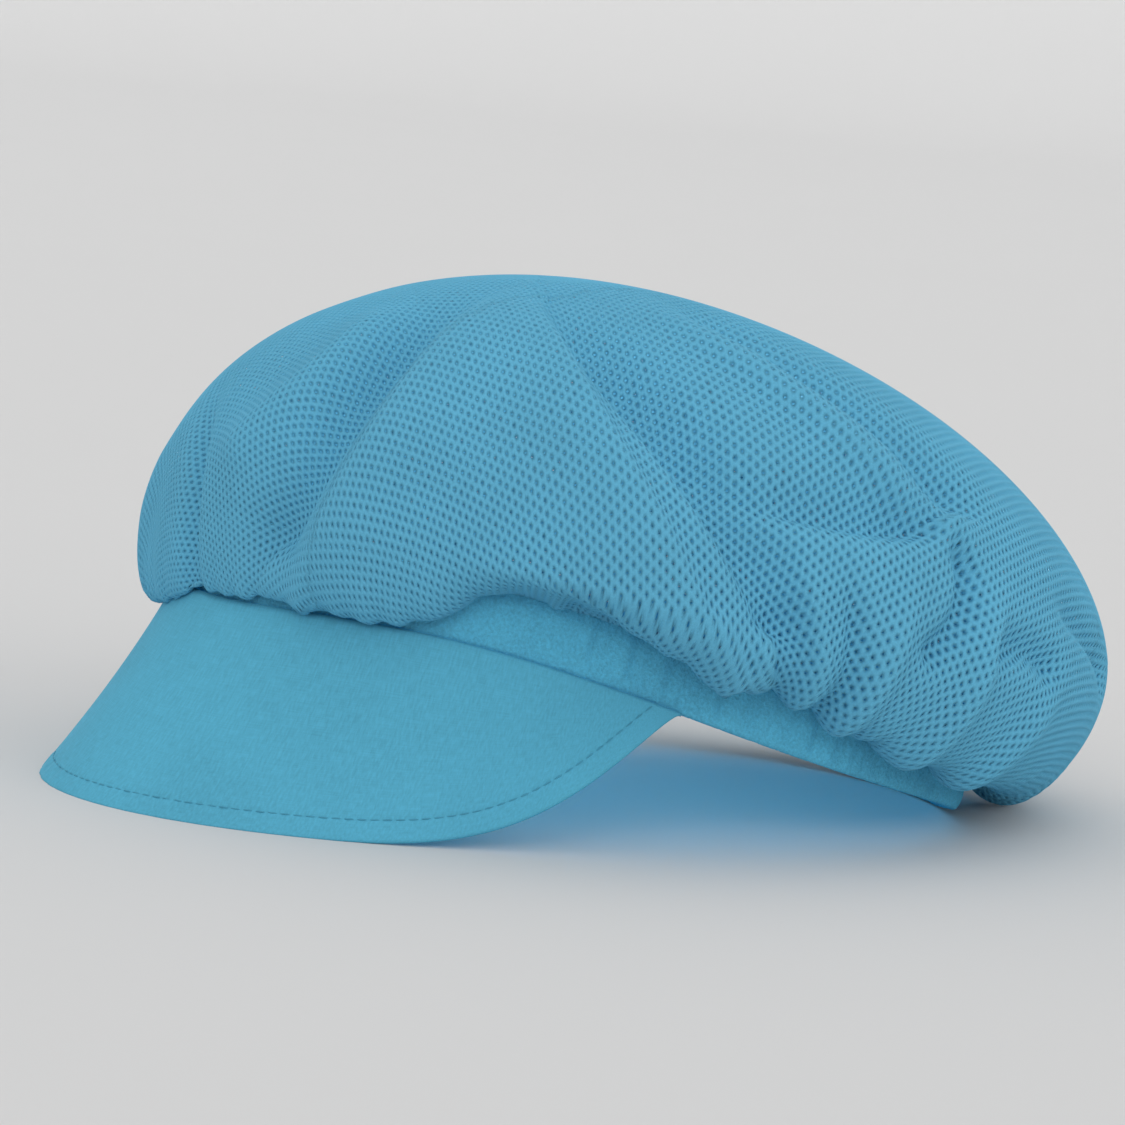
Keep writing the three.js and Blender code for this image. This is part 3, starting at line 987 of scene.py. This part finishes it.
def make_casing():
    flat, place, run, high = casing_surface()
    place[..., 2] = np.maximum(place[..., 2], CASING_ABOVE_FLOOR)
    even = np.ones(place.shape[:2])
    pattern = flat_pattern("band_pattern", flat, place, grid_normals(place, False), even, False)
    columns = round(run / CASING_PITCH)
    # A few cells more than fit, since the ones past the pattern's edge are dropped.
    values = {"Columns": columns + 5, "Rows": int(high / CASING_ROW_PITCH) + 5,
              "Pitch": run / columns * MM, "Row Pitch": CASING_ROW_PITCH * MM,
              "Hole Share": 0.0, "Hole Narrowing": 1.0, "Pit Depth": 0.8, "Wobble": 0.5 * MM,
              "Thickness": 0.4 * MM, "Cloth Size": 0.6, "Sector Middle": 0.0,
              "Sector Width": WHOLE_TURN, "Material": band_painted_light_finish}
    piece = run_tree(pattern, net_tree, "band_casing", values)
    bpy.data.objects.remove(pattern)
    return piece


band_casing = make_casing()

# %% [markdown]
# ## A shell from a grid
#
# Woven cloth has no holes, so the elastic and the visor are simple shells. The grid is the
# middle of the cloth, and the two faces stand off it by half the thickness. Solidify would
# do that too, but it can't thin the cloth at its edges, and a turned edge is round.

# %% Shell helper


def cloth_shell(name, middle, thickness, closed, material):
    rows, columns = middle.shape[:2]
    normal = grid_normals(middle, closed)
    half = (normal * thickness[..., None] / 2).reshape(-1, 3)
    flat = middle.reshape(-1, 3)
    points = np.concatenate([flat + half, flat - half])
    points[:, 2] = np.maximum(points[:, 2], 0)
    faces = np.concatenate([grid_faces(rows, columns, closed),
                            grid_faces(rows, columns, closed, rows * columns, True)])
    j, i = np.meshgrid(np.linspace(0, 1, rows), np.linspace(0, 1, columns), indexing="ij")
    # The front takes the left half of the UV map and the back the right half.
    front = np.stack([0.01 + 0.48 * i, 0.01 + 0.98 * j], -1).reshape(-1, 2)
    uvs = np.concatenate([front, front + np.array([0.5, 0])])
    made = mesh_object(name, points * MM, faces, uvs)
    weld(made)
    made.data.materials.append(material)
    print(name, "has", triangle_count(made), "triangles")
    return made


def weld(made):
    """Joins the two faces where the thickness is nothing, and turns all faces outward."""
    mesh = bmesh.new()
    mesh.from_mesh(made.data)
    bmesh.ops.remove_doubles(mesh, verts=mesh.verts, dist=0.000002)
    bmesh.ops.recalc_face_normals(mesh, faces=mesh.faces)
    mesh.to_mesh(made.data)
    mesh.free()
    made.data.shade_smooth()


def round_edge(away, radius):
    """The thickness share at a distance from a cloth's edge: a half circle."""
    inside = np.clip(1 - away / radius, 0, 1)
    return np.sqrt(np.clip(1 - inside ** 2, 0, 1))


# %% The elastic inside the band

ELASTIC_START = 1.4
ELASTIC_WIDTH = 9.8
ELASTIC_THICKNESS = 1.0
ELASTIC_HALF_ROWS = 13


def make_elastic():
    half = np.linspace(0, 1, ELASTIC_HALF_ROWS) ** 2 / 2
    share = np.concatenate([half, (1 - half[::-1])[1:]])
    rise = ELASTIC_START + ELASTIC_WIDTH * share
    grid_rise, grid = np.meshgrid(rise, np.arange(360) * 1.0, indexing="ij")
    wave = 0.12 * ripple(grid / 360, 21, (110, 140))
    point = band_point(grid, grid_rise / BAND_HEIGHT) + outward(grid) * wave[..., None]
    away = np.minimum(grid_rise - rise[0], rise[-1] - grid_rise)
    thickness = ELASTIC_THICKNESS * round_edge(away, ELASTIC_THICKNESS / 2)
    return cloth_shell("band_elastic", at_rest(point), thickness, True, band_painted_light_finish)


band_elastic = make_elastic()
for piece in (band_casing, band_elastic):
    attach(piece, "root")
    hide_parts("band")

# %% [markdown]
# ## The visor
#
# The visor is two layers of woven cloth, sewn face to face, turned out and stitched once
# round a few millimetres inside the edge. The row itself sinks in, and the hem puckers a
# little, most of all at the front, where the cloth was eased. So the visor is a shell whose
# thickness follows the distance to its edge.

# %% The visor's middle surface

# Angles are in degrees. The visor ends at an azimuth on each side. Its depth shrinks towards
# the sides and goes quickly to nothing at its corners. It droops from level by one angle in
# front and another at the sides, with a wave between them.
VISOR_END = 80.0
VISOR_DEPTH = 55.6
VISOR_SIDE_SHORTENING = 0.342
VISOR_END_DEPTH = 0.4
VISOR_CORNER_POWER = 8.2
VISOR_CORNER_ROUNDING = 0.716
VISOR_DROOP_FRONT = 74.6
VISOR_DROOP_SIDE = 88.0
VISOR_DROOP_WAVE = 27.5
VISOR_FLARE = 5.7
VISOR_LAP = 0.5
VISOR_WALL = 1.5


def visor_point(azimuth, down):
    """A place on the visor. Below zero, the share down is in the lap under the band."""
    u = np.abs(azimuth) / VISOR_END
    corner = np.clip(1 - u ** VISOR_CORNER_POWER, 0, 1) ** (1 / VISOR_CORNER_ROUNDING)
    depth = VISOR_DEPTH * corner * (1 - VISOR_SIDE_SHORTENING * u * u)
    depth = np.maximum(depth, VISOR_END_DEPTH)
    droop = VISOR_DROOP_FRONT + (VISOR_DROOP_SIDE - VISOR_DROOP_FRONT) * u * u
    droop = np.radians(droop + VISOR_DROOP_WAVE * (u ** 2 - u ** 4))
    length = depth * np.maximum(down, 0)
    flare = VISOR_FLARE * (depth / VISOR_DEPTH) * np.maximum(down, 0) ** 2
    point = sewing_line(azimuth) + outward(azimuth) * (length * np.cos(droop) + flare)[..., None]
    point[..., 2] -= length * np.sin(droop) + VISOR_LAP * np.minimum(down, 0)
    return point


# %% Make the visor

VISOR_COLUMNS = 340
VISOR_ROWS = 64
LAP_ROWS = np.array([-0.3, -0.6, -0.85, -0.97, -1.0])
SIDE_CROWDING = 0.35
EDGE_CROWDING = 1.5
EDGE_ROUNDING = 0.75
STITCH_INSET = 5.3
GROOVE_DEPTH = 0.4
GROOVE_WIDTH = 0.5
PUCKER_HEIGHT = 0.3
BROAD_WAVE_HEIGHT = 0.12


def visor_grid():
    """The rows crowd together at the turned edge, and the columns at the two ends."""
    across = np.linspace(-1, 1, VISOR_COLUMNS)
    crowded = SIDE_CROWDING * np.sin(across * math.pi / 2)
    azimuth = VISOR_END * (crowded + (1 - SIDE_CROWDING) * across)
    down = 1 - np.linspace(0, 1, VISOR_ROWS) ** EDGE_CROWDING
    down, azimuth = np.meshgrid(np.concatenate([down, LAP_ROWS]), azimuth, indexing="ij")
    return azimuth, down, visor_point(azimuth, down)


def distance_to_any_edge(middle, down, away):
    lap = np.where(down < 0, (1 + down) * VISOR_LAP, away)
    left = np.linalg.norm(middle - middle[:, :1], axis=-1)
    right = np.linalg.norm(middle - middle[:, -1:], axis=-1)
    return np.minimum.reduce([away, lap, left, right])


def visor_thickness(away, to_edge):
    """Round at every edge, and pressed in along the row of stitches."""
    groove = GROOVE_DEPTH * np.exp(-((away - STITCH_INSET) / GROOVE_WIDTH) ** 2)
    return VISOR_WALL * round_edge(to_edge, EDGE_ROUNDING) - groove * smoothstep(to_edge, 0, 1)


def visor_swell(azimuth, down, away, place):
    """Puckers between the edge and the stitches, and broad soft waves in the rest."""
    eased = 1.4 - smoothstep(np.abs(azimuth - 5), 10, 55)
    hem = np.exp(-((away - 3.2) / 2.6) ** 2)
    pucker = PUCKER_HEIGHT * eased * ripple(place, 31, (36, 47, 58)) * hem
    inner = smoothstep(away, 3, 14) * smoothstep(down, 0, 0.35)
    return pucker + BROAD_WAVE_HEIGHT * ripple(place, 37, (4, 6, 9)) * inner


def make_visor():
    azimuth, down, middle = visor_grid()
    away, place = distance_to_line(middle, middle[0])
    away = np.abs(away)
    thickness = visor_thickness(away, distance_to_any_edge(middle, down, away))
    swell = visor_swell(azimuth, down, away, place)
    swollen = at_rest(middle + grid_normals(middle, False) * swell[..., None])
    made = cloth_shell("visor_cloth", swollen, thickness, False, visor_finish)
    return made, away, at_rest(middle)


visor_cloth, edge_away, visor_rest = make_visor()

# %% [markdown]
# ## The row of stitches
#
# A lockstitch shows as a row of short threads with small gaps. Each thread is a slim grain
# laid along the row. Geometry Nodes set them out: the row is a line of points, resampled at
# the stitch pitch, with one grain turned along the line at each point.

# %% The stitch tree

STITCH_INPUTS = {"Row": "Geometry", "Stitch Pitch": "Float", "Stitch Length": "Float",
                 "Thread Radius": "Float", "Material": "Material"}


def make_stitch_tree():
    t, given = new_tree("stitch_row_tree", STITCH_INPUTS, "Stitches")
    curve = t.out("MeshToCurve", Mesh=given["Row"])
    points = t.add("CurveToPoints", mode="LENGTH", Curve=curve,
                   Length=given["Stitch Pitch"])
    radius = given["Thread Radius"]
    grain = t.out("MeshUVSphere", Segments=8, Rings=7, Radius=radius)
    longer = t.math("DIVIDE", t.times(given["Stitch Length"], 0.5), radius)
    size = t.out("CombineXYZ", X=1.0, Y=1.0, Z=longer)
    lay = t.out("InstanceOnPoints", Points=points.outputs["Points"],
                Instance=grain, Rotation=points.outputs["Rotation"], Scale=size)
    return finish_tree(t, lay, given["Material"])


# %% Sew the visor's row

STITCH_PITCH = 2.9
STITCH_LENGTH = 2.2
THREAD_RADIUS = 0.2
THREAD_SINK = 0.12
CORNER_MARGIN = 0.5


def row_points(side):
    """The place in each column where the cloth is one stitch inset from its edge."""
    normal = grid_normals(visor_rest, False)
    lift = side * (VISOR_WALL / 2 - THREAD_SINK)
    points = []
    for k in range(VISOR_COLUMNS):
        away = edge_away[:, k]
        if away[:VISOR_ROWS].max() < STITCH_INSET + CORNER_MARGIN:
            continue
        j = int(np.argmax(away > STITCH_INSET))
        share = (STITCH_INSET - away[j - 1]) / (away[j] - away[j - 1])
        point = visor_rest[j - 1, k] * (1 - share) + visor_rest[j, k] * share
        points.append(point + lift * normal[j, k])
    return np.array(points)


def sew_row(name, points):
    mesh = bpy.data.meshes.new(name + "_row")
    edges = [(k, k + 1) for k in range(len(points) - 1)]
    mesh.from_pydata((points * MM).tolist(), edges, [])
    row = place_in_scene(name + "_row", mesh)
    values = {"Stitch Pitch": STITCH_PITCH * MM, "Stitch Length": STITCH_LENGTH * MM,
              "Thread Radius": THREAD_RADIUS * MM, "Material": thread_painted_shade_finish}
    made = run_tree(row, stitch_tree, name, values)
    bpy.data.objects.remove(row)
    return made


stitch_tree = make_stitch_tree()
visor_stitches = [sew_row("visor_stitches_top", row_points(1)),
                  sew_row("visor_stitches_under", row_points(-1))]
for piece in [visor_cloth] + visor_stitches:
    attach(piece, "root")
    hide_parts("visor")

# %% [markdown]
# ## The floor, the backdrop and the light
#
# A pale floor that curves up into the backdrop has no edge for the eye to stop at. Big soft
# lights leave only a faint shadow under the cap. The lights come from low down, because the
# world already lights the crown from above.

# %% Floor and backdrop

FLOOR_COLOUR = (0.67, 0.67, 0.67, 1.0)
FLOOR_RADII = (0.00001, 1.0, 2.5, 4.0)
BEND_MIDDLE = 4.6
BEND_RADIUS = 1.4
WALL_TOP = (6.0, 1.6)


def paper_material():
    material, t, shader = new_material("sweep_paper", 0.95)
    place = t.add("TexCoord").outputs["Object"]
    vary_colour(t, shader, noise(t, place, 4.0, 2.0), FLOOR_COLOUR, (0.0, 1.0), (0.995, 1.005))
    return material


def make_sweep():
    """A round floor whose rim curves up all round into a wall."""
    turns = np.radians(np.arange(0, 360, 5))
    floor = [(r, 0.0) for r in FLOOR_RADII]
    bend = [(BEND_MIDDLE + BEND_RADIUS * math.sin(a), BEND_RADIUS * (1 - math.cos(a)))
            for a in np.linspace(0.0, 1.5, 12)]
    outline = np.array(floor + bend + [WALL_TOP])
    radius, height = outline[:, :1], outline[:, 1:]
    points = np.stack([radius * np.cos(turns), radius * np.sin(turns), height + 0 * turns], -1)
    sweep = mesh_object("sweep", points.reshape(-1, 3), grid_faces(len(outline), len(turns), True))
    sweep.data.materials.append(paper_material())


make_sweep()

# %% Lights and world

GLOW_SIZE = 0.1
GLOW_HEIGHT = 6


def new_light(name, kind, strength):
    data = bpy.data.lights.new(name, kind)
    data.energy = strength
    return place_in_scene(name, data)


def sun_light(name, azimuth, elevation, strength, softness):
    """A far, wide light. Its azimuth is counted as the camera's."""
    light = new_light(name, "SUN", strength)
    light.data.angle = math.radians(softness)
    aim(light, direction(azimuth, elevation))
    light.location = direction(azimuth, elevation)


def inner_light(name, power):
    """A soft disk inside the band that shines up, so the far side shows through the holes."""
    light = new_light(name, "AREA", power)
    light.data.shape = "DISK"
    light.data.size = GLOW_SIZE
    light.rotation_euler = (math.pi, 0, 0)
    light.location = Vector((HEAD_PLACE + np.array([0, 0, GLOW_HEIGHT])) * MM)
    light.visible_camera = False


def make_world(strength):
    world = bpy.data.worlds.new("studio")
    world.use_nodes = True
    shader = world.node_tree.nodes["Background"]
    shader.inputs["Color"].default_value = (1.0, 1.0, 1.0, 1.0)
    shader.inputs["Strength"].default_value = strength
    bpy.context.scene.world = world


sun_light("key", azimuth=54, elevation=12, strength=1.2, softness=45)
sun_light("fill", azimuth=118, elevation=3, strength=1.1, softness=70)
inner_light("inner_glow", power=0.17)
make_world(0.86)
bpy.context.scene.view_settings.view_transform = "Standard"
